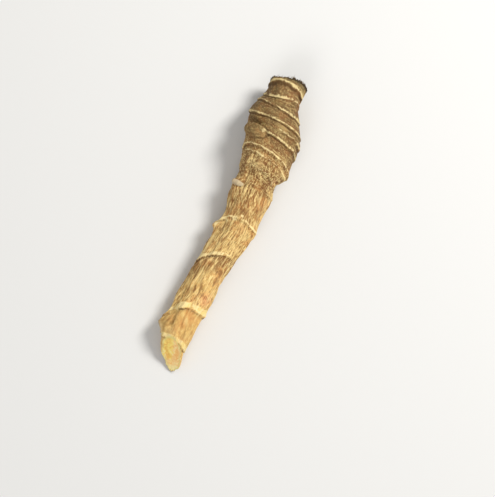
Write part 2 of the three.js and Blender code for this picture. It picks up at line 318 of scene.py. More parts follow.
def plain_point(growth, angle, share=1.0):
    """Points of the plain body in mm, and the girth there. share is less than 1 inside the crown end."""
    side, top = np.sin(angle), np.cos(angle)
    lean = lean_at(SLANT, growth) * side + lean_at(ARCH, growth) * top
    lean = lean + lean_at(SKEW, growth) * np.sin(2 * angle)
    x = growth + lean * share
    y, z, wide, tall, girth = section_at(x)
    relief = plain_relief(x, angle, girth) * share
    y = y + (wide * share + relief) * side
    z = z + (tall * share + relief) * top
    return np.stack([x, y, z], axis=-1), girth


def cut_plane():
    """A point of the cut across the tip, in mm, and its outward direction."""
    down = (CUT_END - CUT_TOP).normalized()
    across = Quaternion(down, CUT_ROLL) @ Vector((0, 1, 0))
    return CUT_TOP, -down.cross(across).normalized()


def row_places(count, end):
    """Growth lines from the crown end to `end`, closer together across the rings."""
    fine = np.linspace(RINGS[0][AT], end, ROW_TRIES)
    near = np.zeros(len(fine), bool)
    for ring in RINGS:
        off = fine - ring[AT]
        near |= (off > -CLOSE_BELOW * ring[WIDTH]) & (off < ring[BAND] + CLOSE_ABOVE)
    steps = 1 / np.where(near, RING_ROW_GAP, PLAIN_ROW_GAP)
    run = np.concatenate([[0], np.cumsum((steps[1:] + steps[:-1]) / 2)])
    return np.interp(np.linspace(0, run[-1], count), run, fine)


def cut_lines(angle):
    """The growth line on which each column of the bark reaches the cut."""
    point, out = cut_plane()
    tries = np.linspace(WARP_FROM - 1, TIP_END, CUT_TRIES)
    places, _ = plain_point(tries[:, None], angle[None, :])
    beyond = (places - np.array(point)) @ np.array(out) > 0
    first = np.where(beyond.any(axis=0), beyond.argmax(axis=0), len(tries) - 1)
    return tries[first]


def bark_rows(angle):
    """Points, girth and growth line of every row of the bark, from the crown's rim to the cut."""
    reached = cut_lines(angle)
    end = reached.min()
    rows = row_places(BARK_ROWS, end)[:, None] * np.ones(COLUMNS)
    lean = (rows - WARP_FROM) / (end - WARP_FROM)
    growth = np.where(rows < WARP_FROM, WARP_FROM + lean * (reached - WARP_FROM), rows)
    points, girth = plain_point(growth, angle[None, :] * np.ones_like(growth))
    return points, girth, growth


def torn_rows(angle):
    """Points and shares of the torn crown end, from just inside its rim to its middle."""
    share = np.linspace(1, 0, TORN_ROWS + 2)[1:-1, None] * np.ones(COLUMNS)
    outer, stand = zip(*reversed(TORN_PROFILE))
    growth = np.full_like(share, RINGS[0][AT])
    points, _ = plain_point(growth, angle[None, :] * np.ones_like(growth), share)
    points[..., 0] += np.interp(share, outer, stand)
    return points, share


def cut_rows(rim):
    """Points and shares of the cut face, from just inside its rim to its middle."""
    share = np.linspace(1, 0, CUT_ROWS + 2)[1:-1, None]
    middle = rim.mean(axis=0)
    points = middle + (rim[None] - middle) * share[..., None]
    return points, share * np.ones(len(rim))


def plain_root():
    """The closed grid of the plain root in metres, with what its finish is worked out from.

    growth is the growth line, skin is the unrolled bark as a point (growth, sideways, upwards) at true
    scale, keep is the share of the bark's relief that a point takes, and flesh and torn are 1 inside the
    cut face and the torn crown end. zone says for each face which of the three finishes it takes.
    """
    angle = np.arange(COLUMNS) / COLUMNS * 2 * np.pi
    bark, girth, growth = bark_rows(angle)
    torn, torn_share = torn_rows(angle)
    cut, cut_share = cut_rows(bark[-1])
    points = np.concatenate([torn[::-1], bark, cut])
    rows_of = (len(torn), len(bark), len(cut))
    share = np.concatenate([torn_share[::-1], np.ones_like(growth), cut_share])

    def carried_on(values):
        """The bark's values, with its first and last row carried on over the two ends."""
        first, last = np.repeat(values[:1], rows_of[0], 0), np.repeat(values[-1:], rows_of[2], 0)
        return np.concatenate([first, values, last])

    line = carried_on(growth)
    round_by = carried_on(girth) * share
    skin = np.stack([line, round_by * np.sin(angle), round_by * np.cos(angle)], axis=-1)
    inside = 1 - share
    rows = np.arange(len(points))[:, None] * np.ones(COLUMNS)
    in_torn, in_cut = rows < rows_of[0], rows >= rows_of[0] + rows_of[1]
    poles = [points[0].mean(axis=0), points[-1].mean(axis=0)]
    fields = {
        "growth": np.append(line.ravel(), [line[0].mean(), line[-1].mean()]) * MM,
        "keep": np.append((share**3).ravel(), [0, 0]),
        "torn": np.append((inside * in_torn).ravel(), [1, 0]),
        "flesh": np.append((inside * in_cut).ravel(), [0, 1]),
        "skin": np.concatenate([skin.reshape(-1, 3), [(line[0, 0], 0, 0), (line[-1].mean(), 0, 0)]]) * MM,
    }
    places = np.concatenate([points.reshape(-1, 3), poles]) * MM
    return places, fields, rows_of


def ring_mesh(name, places, rows_of):
    """A closed mesh of rows of COLUMNS points each, with a pole at either end, and a zone for each face."""
    total = sum(rows_of)
    i = np.arange(COLUMNS)
    after = (i + 1) % COLUMNS
    faces, zones = [], []
    for row in range(total - 1):
        a, b = row * COLUMNS, (row + 1) * COLUMNS
        faces += np.stack([a + i, a + after, b + after, b + i], axis=-1).tolist()
        zones += [TORN if row < rows_of[0] else BARK if row < rows_of[0] + rows_of[1] - 1 else CUT] * COLUMNS
    crown_pole, tip_pole, last = total * COLUMNS, total * COLUMNS + 1, (total - 1) * COLUMNS
    faces += [[crown_pole, int(n), int(j)] for j, n in zip(i, after)]
    faces += [[tip_pole, int(last + j), int(last + n)] for j, n in zip(i, after)]
    zones += [TORN] * COLUMNS + [CUT] * COLUMNS
    mesh = bpy.data.meshes.new(name)
    mesh.from_pydata(places.tolist(), [], faces)
    zone = mesh.attributes.new("zone", "INT", "FACE")
    zone.data.foreach_set("value", np.array(zones, np.int32))
    return mesh


def on_bark(x, turn):
    """The point of the plain body at a place and an angle in degrees, in metres."""
    angle, place = math.radians(turn), np.array([x])
    y, z, wide, tall, girth = (values[0] for values in section_at(place))
    relief = plain_relief(place, angle, girth)[0]
    return Vector((x, y + (wide + relief) * math.sin(angle), z + (tall + relief) * math.cos(angle))) * MM


# Node trees

class Wire:
    """A node's output that sums are written with. Each operator adds its Math node."""

    def __init__(self, nodes, socket):
        self.nodes = nodes
        self.socket = socket

    def __add__(self, other):
        return self.nodes.math("ADD", self, other)

    def __radd__(self, other):
        return self.nodes.math("ADD", other, self)

    def __sub__(self, other):
        return self.nodes.math("SUBTRACT", self, other)

    def __rsub__(self, other):
        return self.nodes.math("SUBTRACT", other, self)

    def __mul__(self, other):
        return self.nodes.math("MULTIPLY", self, other)

    def __rmul__(self, other):
        return self.nodes.math("MULTIPLY", other, self)

    def __truediv__(self, other):
        return self.nodes.math("DIVIDE", self, other)

    def __neg__(self):
        return self.nodes.math("MULTIPLY", self, -1)


class Nodes:
    """Adds nodes to one tree, which makes a shape or a material."""

    def __init__(self, tree):
        self.tree = tree
        self.shapes = tree.bl_idname == "GeometryNodeTree"

    def add(self, kind, settings=None, inputs=None, output=0):
        """Adds a node: its settings come first, then the values or wires of its sockets."""
        node = self.tree.nodes.new(kind)
        for name, value in (settings or {}).items():
            if name == "stops":
                self.set_stops(node.color_ramp, value)
            else:
                setattr(node, name, value)
        self.feed(node, inputs or {})
        return Wire(self, node.outputs[output])

    def feed(self, node, inputs):
        """Puts values or wires into a node's sockets."""
        for key, value in inputs.items():
            if isinstance(value, Wire):
                self.tree.links.new(value.socket, node.inputs[key])
            else:
                node.inputs[key].default_value = value

    def set_stops(self, ramp, stops):
        while len(ramp.elements) < len(stops):
            ramp.elements.new(1.0)
        for element, (place, colour) in zip(ramp.elements, stops):
            element.position = place
            element.color = (*colour, 1.0)

    def math(self, operation, a, b=0.0):
        return self.add("ShaderNodeMath", {"operation": operation}, {0: a, 1: b})

    def least(self, a, b):
        return self.math("MINIMUM", a, b)

    def most(self, a, b):
        return self.math("MAXIMUM", a, b)

    def bell(self, t):
        return self.math("EXPONENT", -(t * t))

    def peak(self, value, line):
        """1 where the value meets the line's place, fading away at the line's half width."""
        return self.bell((value - line[0]) / line[1])

    def rise(self, value, start, end):
        """0 before start and 1 after end, with a smooth step between them."""
        settings = {"interpolation_type": "SMOOTHSTEP"}
        return self.add("ShaderNodeMapRange", settings, {"Value": value, "From Min": start, "From Max": end})

    def beyond(self, growth, limits):
        """0 before the first and 1 past the second of two growth lines, in mm."""
        return self.rise(growth, limits[0] * MM, limits[1] * MM)

    def vector(self, operation, a, b=(0, 0, 0), output=0):
        return self.add("ShaderNodeVectorMath", {"operation": operation}, {0: a, 1: b}, output)

    def dot(self, a, b):
        return self.vector("DOT_PRODUCT", a, b, "Value")

    def distance(self, a, b):
        return self.vector("DISTANCE", a, b, "Value")

    def scaled(self, vector, by):
        return self.add("ShaderNodeVectorMath", {"operation": "SCALE"}, {0: vector, "Scale": by})

    def parts(self, vector):
        x = self.add("ShaderNodeSeparateXYZ", None, {0: vector})
        return tuple(Wire(self, socket) for socket in x.socket.node.outputs)

    def joined(self, x, y, z):
        return self.add("ShaderNodeCombineXYZ", None, {0: x, 1: y, 2: z})

    def noise(self, vector, size, detail=2.0, roughness=0.5, distortion=0.0):
        """Noise whose patches are about `size` mm across."""
        inputs = {"Vector": vector, "Scale": 1 / (size * MM), "Detail": detail, "Roughness": roughness}
        return self.add("ShaderNodeTexNoise", None, {**inputs, "Distortion": distortion})

    def uneven(self, vector, size, height, detail, roughness=0.5):
        """Noise about 0: its patches are about `size` mm across and `height` mm from low to high."""
        return (self.noise(vector, size, detail, roughness) - 0.5) * (height * MM)

    def cells(self, vector, size):
        """Distance from the middle of cells about `size` mm across."""
        return self.add("ShaderNodeTexVoronoi", None, {"Vector": vector, "Scale": 1 / (size * MM)})

    def mix(self, factor, a, b):
        """Two colours mixed."""
        return self.add("ShaderNodeMix", {"data_type": "RGBA"}, {0: factor, 6: solid(a), 7: solid(b)}, 2)

    def painted(self, base, *coats):
        """A colour with coats over it. A coat is the share that it covers, and its colour."""
        for cover, colour in coats:
            base = self.mix(cover, base, colour)
        return base

    def object_place(self):
        """Where a point lies on its object."""
        return self.add("ShaderNodeTexCoord", None, None, "Object")

    def ramp(self, value, stops):
        return self.add("ShaderNodeValToRGB", {"stops": stops}, {0: value})

    def field(self, name, kind="FLOAT"):
        """A value that the mesh carries under this name."""
        if self.shapes:
            return self.add("GeometryNodeInputNamedAttribute", {"data_type": kind}, {"Name": name})
        output = "Fac" if kind == "FLOAT" else "Vector"
        return self.add("ShaderNodeAttribute", {"attribute_name": name}, None, output)

    def kept(self, shape, name, value):
        """The shape with a value kept on its points under this name."""
        settings = {"data_type": "FLOAT", "domain": "POINT"}
        inputs = {"Geometry": shape, "Name": name, "Value": value}
        return self.add("GeometryNodeStoreNamedAttribute", settings, inputs)


def solid(colour):
    """A colour as a node's socket takes it."""
    return colour if isinstance(colour, Wire) else (*colour, 1.0)


def shape_tree(name, sizes, finishes):
    """A new tree for shapes with these inputs: the tree, its node maker and the inputs' wires."""
    tree = bpy.data.node_groups.new(name, "GeometryNodeTree")
    kinds = {"Geometry": "Geometry", **dict.fromkeys(sizes, "Float"), **dict.fromkeys(finishes, "Material")}
    for socket, kind in kinds.items():
        tree.interface.new_socket(name=socket, in_out="INPUT", socket_type="NodeSocket" + kind)
    tree.interface.new_socket(name="Geometry", in_out="OUTPUT", socket_type="NodeSocketGeometry")
    nodes = Nodes(tree)
    source = tree.nodes.new("NodeGroupInput")
    return tree, nodes, {socket.name: Wire(nodes, socket) for socket in source.outputs if socket.name}


def finished_shape(nodes, made, finish):
    """The shape of a tree, smooth, realized and with its finish."""
    made = nodes.add("GeometryNodeSetShadeSmooth", None, {"Geometry": made})
    made = nodes.add("GeometryNodeRealizeInstances", None, {"Geometry": made})
    return nodes.add("GeometryNodeSetMaterial", None, {"Geometry": made, "Material": finish})


def end_tree(nodes, made):
    nodes.feed(nodes.tree.nodes.new("NodeGroupOutput"), {0: made})


def on_crown(nodes, growth):
    """1 on the crown's bark and 0 on the shaft's."""
    return nodes.beyond(growth, (CROWN_FROM - CROWN_BLEND, CROWN_FROM + CROWN_BLEND))


def drawn_out(nodes, skin, along):
    """The unrolled bark, squeezed so that a pattern on it is `along` times as long as wide."""
    return nodes.vector("MULTIPLY", skin, (1 / along, 1, 1))


def striae(nodes, skin):
    """Lengthwise wrinkles of the bark: 0 in a furrow and 1 on a ridge."""
    broad = nodes.noise(drawn_out(nodes, skin, 7), 0.95, 1.5, 0.5, 0.3)
    slim = nodes.noise(drawn_out(nodes, skin, 9), 0.48, 1.0, 0.5, 0.3)
    return nodes.rise(broad * 0.5 + slim * 0.5, 0.38, 0.64)


def growth_lines(nodes, skin):
    """Fine lines across the crown, along the leaf scars: 0 to 1."""
    return nodes.noise(nodes.vector("MULTIPLY", skin, (1, 0.16, 0.16)), 0.62, 2.0, 0.6, 0.5)


def pits(nodes, skin):
    """Small pits of the crown's bark: 1 in the middle of a pit."""
    where = nodes.noise(skin, 2.4, 2.0)
    deep = nodes.rise(nodes.cells(skin, 0.75), 0.36, 0.08)
    return deep * nodes.rise(where, 0.42, 0.6)


# The bark's relief

class Relief:
    """The tree that raises the root's relief from its plain grid."""

    SOCKETS = (
        ("Ring Rise", "ring_rise"),
        ("Crease Share", "crease_share"),
        ("Furrow Share", "furrow_share"),
        ("Wrinkle Depth", "wrinkle_depth"),
        ("Pit Depth", "pit_depth"),
        ("Scar Stand", "scar_stand"),
    )

    def __init__(self):
        sizes = [name for name, _ in self.SOCKETS]
        self.tree, self.nodes, self.given = shape_tree("root relief", sizes, ("Bark", "Flesh", "Torn"))
        self.build()

    def rings(self, growth, skin, side, top):
        """Sums over the leaf scars: their relief, the pale bands of their crests, and the shade painted in
        their creases.
        """
        nodes = self.nodes
        sway, jag = nodes.uneven(skin, *RING_SWAY), nodes.uneven(skin, *RING_JAG)
        vary = nodes.noise(skin, 1.7, 2.0) * 1.5 + 0.25
        place = growth + sway + jag
        relief, bands, painted_crease_shade = 0.0, 0.0, 0.0
        for ring in RINGS:
            away = place - ring[AT] * MM
            off = away / (ring[WIDTH] * MM)
            gentle = nodes.math("EXPONENT", -(nodes.most(off, 0.0) / GENTLE_SIDE))
            slope = nodes.bell(nodes.least(off, 0.0) / STEEP_SIDE) * gentle
            crease = nodes.bell(off + CREASE_AT)
            # line is a painted shadow behind the ring, on its tip side
            line = nodes.bell((away + LINE_BEHIND * MM) / (LINE_WIDTH * MM))
            fading = [ring[BAND] + end for end in BAND_END]
            band = nodes.beyond(away, BAND_START) * nodes.beyond(away, fading) * ring[PALE]
            if ring[SIDE] is not None:
                angle = math.radians(ring[SIDE])
                facing = nodes.bell((1 - (side * math.sin(angle) + top * math.cos(angle))) * SIDE_FADE)
                slope, crease, band, line = slope * facing, crease * facing, band * facing, line * facing
            relief = relief + (slope - crease * self.given["Crease Share"]) * (ring[RISE] * MM)
            bands = bands + band
            # The shade painted behind each ring: mostly its shadow line, partly its crease.
            painted_crease_shade = painted_crease_shade + (line * 0.8 + crease * 0.2) * ring[CREASE_SHADE]
        return relief * vary * self.given["Ring Rise"], bands, painted_crease_shade * vary

    def furrows(self, growth, side, top):
        """Waves round the root that run along it."""
        nodes = self.nodes
        angle = nodes.math("ARCTAN2", side, top)
        relief = 0.0
        for waves, depth, twist, phase in FURROWS:
            turn = angle * waves + growth * (twist * waves / MM) + phase
            relief = relief + nodes.math("COSINE", turn) * (depth * MM)
        left = on_crown(nodes, growth) * (CROWN_FURROWS - 1) + 1
        return relief * left * self.given["Furrow Share"]

    def nearest(self, place, spots, squeeze=1.0):
        """The distance from the nearest of some round spots, in its radii."""
        near = 9.0
        place = self.nodes.vector("MULTIPLY", place, (squeeze, 1, 1))
        for x, turn, radius in spots:
            middle = on_bark(x, turn) * Vector((squeeze, 1, 1))
            near = self.nodes.least(self.nodes.distance(place, middle) / (radius * MM), near)
        return near

    def scars(self, place):
        """The collars of the lost rootlets and their sunk middles, as the distance from the nearest one."""
        nodes = self.nodes
        near = self.nearest(place, SCARS)
        collar, heart, knob = (nodes.peak(near, line) for line in SCAR_LINES)
        relief = collar * self.given["Scar Stand"] - heart * (SCAR_DEPTH * MM) + knob * (SCAR_KNOB * MM)
        return relief, collar, heart, near

    def crease_between(self, place, skin, ends):
        """A crease along the straight line between two points of the bark: 1 on it."""
        nodes = self.nodes
        start, end = (on_bark(x, turn) for x, turn in ends)
        way = end - start
        along = nodes.dot(nodes.vector("SUBTRACT", place, start), way / way.length_squared)
        foot = nodes.scaled(way, nodes.least(nodes.most(along, 0.0), 1.0))
        foot = nodes.vector("ADD", start, foot)
        away = nodes.distance(place, foot) + nodes.uneven(skin, *FOOT_CREASE_SWAY)
        return nodes.bell(away / (FOOT_CREASE_WIDTH * MM))

    def stub(self, place, skin):
        """The pale stub: a pillow with a crease round it."""
        nodes = self.nodes
        near = self.nearest(place, (STUB,), STUB_SQUEEZE) + (nodes.noise(skin, 1.2, 2.0) - 0.5) * 0.3
        outline = nodes.peak(near, STUB_LINE)
        pillow = nodes.rise(near, *STUB_EDGE)
        return pillow * (STUB_RISE * MM) - outline * (STUB_CREASE * MM), outline, pillow

    def bud(self, place, skin):
        """The bud: a dome inside a crease, with curled lines. Gives their relief, the lines, where shade is
        painted, and the dome.
        """
        nodes = self.nodes
        near = self.nearest(place, (BUD,), BUD_SQUEEZE) + (nodes.noise(skin, 1.6, 2.0) - 0.5) * 0.4
        above = nodes.beyond(nodes.parts(place)[0], BUD_LOWER_SIDE) * 0.6 + 0.4
        outline = nodes.peak(near, BUD_LINE) * above
        curls = nodes.peak(near, BUD_CURL) + nodes.peak(near, BUD_INNER_CURL)
        dome = nodes.rise(near, *BUD_EDGE)
        relief = dome * (BUD_RISE * MM) - curls * (BUD_CURLS * MM) - outline * (BUD_CREASE * MM)
        return relief, nodes.most(outline, curls * 0.5), dome

    def wedge(self, growth, side, top):
        """The pale wedge along the left edge: 1 on it."""
        nodes = self.nodes
        wedge = nodes.rise(side, *WEDGE_SIDE) * nodes.beyond(growth, WEDGE_BEGINS)
        wedge = wedge * nodes.beyond(growth + (side - 1) * (WEDGE_SLANT * MM), WEDGE_ENDS)
        return wedge * nodes.rise(top, *WEDGE_TOP)

    def fine(self, growth, skin):
        """Wrinkles, lines across, lumps and pits of the bark."""
        nodes, given = self.nodes, self.given
        crown = on_crown(nodes, growth)
        wrinkle = (striae(nodes, skin) - 0.5) * (1 - crown * 0.72)
        across = (growth_lines(nodes, skin) - 0.5) * (crown * 0.9 + 0.2)
        pit = pits(nodes, skin) * (crown * 0.8 + 0.2)
        relief = (wrinkle + across) * given["Wrinkle Depth"] + nodes.uneven(skin, *BARK_LUMPS)
        return relief - pit * given["Pit Depth"]

    def tear(self, growth, skin, torn):
        """How far the torn crown end stands out along the root."""
        nodes = self.nodes
        rough = nodes.uneven(skin, *TORN_LUMPS) + nodes.uneven(skin, *TORN_SPIKES)
        return rough * nodes.beyond(growth, TORN_RIM) * (nodes.rise(torn, 0.0, 0.2) * 0.8 + 1)

    def build(self):
        nodes = self.nodes
        growth, keep, flesh, torn = (nodes.field(name) for name in ("growth", "keep", "flesh", "torn"))
        skin = nodes.field("skin", "FLOAT_VECTOR")
        place = nodes.add("GeometryNodeInputPosition")
        normal = nodes.add("GeometryNodeInputNormal")
        _, across, up = nodes.parts(skin)
        outward = nodes.vector("NORMALIZE", nodes.joined(0.0, across, up))
        _, side, top = nodes.parts(outward)

        scar, collar, heart, near = self.scars(place)
        bud, bud_line_shade, dome = self.bud(place, skin)
        stub, stub_line_shade, pillow = self.stub(place, skin)
        groups = (RING_BLOTCHES, RING_GAPS, BLUSHES, (FOOT_SHADE,))
        blotch, gap, blush, shade = (nodes.bell(self.nearest(place, spots)) for spots in groups)
        foot_crease = self.crease_between(place, skin, FOOT_CREASE)
        # Painted shade in the creases round the bud and the stub and along the rootlet's foot, and on the
        # foot's flank.
        lines = nodes.most(bud_line_shade, stub_line_shade * 0.45)
        lines = nodes.most(lines, nodes.most(foot_crease * 0.8, shade * 0.45))
        ring, crest, crease = self.rings(growth, skin, side, top)
        bands = nodes.most(self.wedge(growth, side, top) * 0.7, blotch * 1.4)

        clear = nodes.rise(near, *SCAR_CLEAR)
        fine = self.fine(growth, skin)
        broad = (ring + self.furrows(growth, side, top)) * (clear * 0.8 + 0.2)
        marks = scar + bud + stub - foot_crease * (FOOT_CREASE_DEPTH * MM)
        in_section = nodes.scaled(outward, broad * keep)
        along_normal = nodes.scaled(normal, (fine * clear + marks) * keep)
        moved = nodes.vector("ADD", place, nodes.vector("ADD", in_section, along_normal))
        moved = nodes.vector("ADD", moved, nodes.joined(self.tear(growth, skin, torn), 0.0, 0.0))
        moved = self.dented(self.held_behind_cut(moved), skin, flesh)
        moved = nodes.vector("MAXIMUM", moved, (-1.0, -1.0, 0.0))

        inputs = {"Geometry": self.given["Geometry"], "Position": moved}
        made = nodes.add("GeometryNodeSetPosition", None, inputs)
        # crease, line and heart say where shade is painted; height, the fine relief, says where shade and
        # highlights are painted.
        kept = {
            "ring": nodes.most(crest * (1 - gap), bands),
            "crease": crease,
            "line": lines,
            "collar": collar,
            "heart": heart,
            "stub": pillow,
            "blush": blush,
            "bud": dome,
            "side": side,
            "height": fine / MM,
        }
        for name, value in kept.items():
            made = nodes.kept(made, name, value)
        made = finished_shape(nodes, made, self.given["Bark"])
        for number, name in ((CUT, "Flesh"), (TORN, "Torn")):
            made = self.zone_finish(made, number, name)
        end_tree(nodes, made)

    def zone_finish(self, made, number, name):
        """One zone's faces with their own finish."""
        nodes = self.nodes
        settings = {"data_type": "INT", "operation": "EQUAL"}
        same = nodes.add("FunctionNodeCompare", settings, {2: nodes.field("zone", "INT"), 3: number})
        inputs = {"Geometry": made, "Selection": same, "Material": self.given[name]}
        return nodes.add("GeometryNodeSetMaterial", None, inputs)

    def dented(self, place, skin, flesh):
        """Points of the cut face, pushed in by the knife's marks."""
        nodes = self.nodes
        dent = nodes.rise(flesh, 0.0, 0.12) * (nodes.uneven(skin, *KNIFE_MARKS) - KNIFE_DEPTH * MM)
        _, out = cut_plane()
        return nodes.vector("ADD", place, nodes.scaled(out, dent))

    def held_behind_cut(self, place):
        """Points beyond the cut across the tip are brought back to it."""
        nodes = self.nodes
        point, out = cut_plane()
        beyond = nodes.dot(nodes.vector("SUBTRACT", place, point * MM), out)
        return nodes.vector("SUBTRACT", place, nodes.scaled(out, nodes.most(beyond, 0.0)))


def fibre_tree():
    """The tree that stands short dry fibres on the torn crown end of the mesh it is given."""
    tree, nodes, given = shape_tree("torn fibres", ("Density", "Fibre Length", "Fibre Width"), ("Fibre",))
    inputs = {0: nodes.field("torn"), 1: FIBRES_FROM}
    on_end = nodes.add("FunctionNodeCompare", {"operation": "GREATER_THAN"}, inputs)
    inputs = {"Mesh": given["Geometry"], "Selection": on_end, "Density": given["Density"]}
    points = nodes.add("GeometryNodeDistributePointsOnFaces", None, {**inputs, "Seed": FIBRE_SEED})
    blade = nodes.add("GeometryNodeMeshCone", None, FIBRE_BLADE)
    blade = nodes.kept(blade, "along", nodes.parts(nodes.add("GeometryNodeInputPosition"))[2])

    def drawn(low, high, seed, kind="FLOAT", output=1):
        """A random value from low to high for each fibre."""
        first = 0 if kind == "FLOAT_VECTOR" else 2
        inputs = {first: low, first + 1: high, "Seed": seed}
        return nodes.add("FunctionNodeRandomValue", {"data_type": kind}, inputs, output)

    lean = drawn(*FIBRE_LEAN, LEAN_SEED, "FLOAT_VECTOR", 0)
    turn = nodes.add("FunctionNodeAlignRotationToVector", {"axis": "Z"}, {"Vector": lean})
    width = given["Fibre Width"] * drawn(*FIBRE_WIDTHS, WIDTH_SEED)
    long = given["Fibre Length"] * drawn(*FIBRE_LENGTHS, LENGTH_SEED)
    size = nodes.joined(width, width * FIBRE_FLATNESS, long)
    inputs = {"Points": points, "Instance": blade, "Rotation": turn, "Scale": size}
    made = nodes.add("GeometryNodeInstanceOnPoints", None, inputs)
    made = nodes.add("GeometryNodeRealizeInstances", None, {"Geometry": made})
    sway = nodes.add("ShaderNodeTexNoise", None, {"Scale": 1 / (FIBRE_SWAY * MM), "Detail": 1.0}, 1)
    sway = nodes.vector("SUBTRACT", sway, (0.5, 0.5, 0.5))
    bend = nodes.scaled(sway, nodes.field("along") * given["Fibre Length"])
    made = nodes.add("GeometryNodeSetPosition", None, {"Geometry": made, "Offset": bend})
    end_tree(nodes, finished_shape(nodes, made, given["Fibre"]))
    return tree


def run_tree(piece, tree, values):
    """Runs a tree on a piece and keeps its result as the piece's plain mesh."""
    modifier = piece.modifiers.new(tree.name, "NODES")
    modifier.node_group = tree
    for item in tree.interface.items_tree:
        if item.in_out == "INPUT" and item.name in values:
            modifier[item.identifier] = values[item.name]
    graph = bpy.context.evaluated_depsgraph_get()
    made = piece.evaluated_get(graph)
    mesh = bpy.data.meshes.new_from_object(made, preserve_all_data_layers=True, depsgraph=graph)
    mesh.name = piece.name
    piece.modifiers.remove(modifier)
    piece.data = mesh


def linked(name, data):
    """A new object for a mesh, a light or a camera, at the origin."""
    piece = bpy.data.objects.new(name, data)
    bpy.context.scene.collection.objects.link(piece)
    return piece


# Materials

def surface(name):
    """A new material: its node maker and its shader."""
    material = bpy.data.materials.new(name)
    material.use_nodes = True
    nodes = Nodes(material.node_tree)
    shader = next(n for n in material.node_tree.nodes if n.type == "BSDF_PRINCIPLED")
    return material, nodes, shader


def finish_surface(nodes, shader, colour, roughness, height, depth):
    """Links a surface's colour, roughness and bump, whose height is worth `depth` metres."""
    bump = nodes.add("ShaderNodeBump", None, {"Height": height, "Distance": depth, "Strength": 1.0})
    inputs = {"Base Color": colour, "Roughness": roughness, "Normal": bump}
    nodes.feed(shader, {**inputs, "Specular IOR Level": 0.35})


def strokes(nodes, skin, crown, step):
    """Light and dark about 0.5: long strokes on the shaft, short ones above it, specks on the crown."""
    bold_ones = nodes.noise(drawn_out(nodes, skin, 6), 0.7, 1.0, 0.5, 0.4)
    slim_ones = nodes.noise(drawn_out(nodes, skin, 4.5), 0.3, 2.0, 0.6, 0.4)
    short_ones = nodes.noise(drawn_out(nodes, skin, 1.7), 0.36, 2.0, 0.6, 0.8)
    specks = nodes.noise(skin, 0.38, 2.0, 0.65, 0.4)
    bold = nodes.rise(nodes.noise(skin, 7, 1.0), 0.4, 0.6) * 0.4 + 0.1
    below = (slim_ones * (1 - bold) + bold_ones * bold) * (1 - step) + short_ones * step
    return below * (1 - crown) + specks * crown


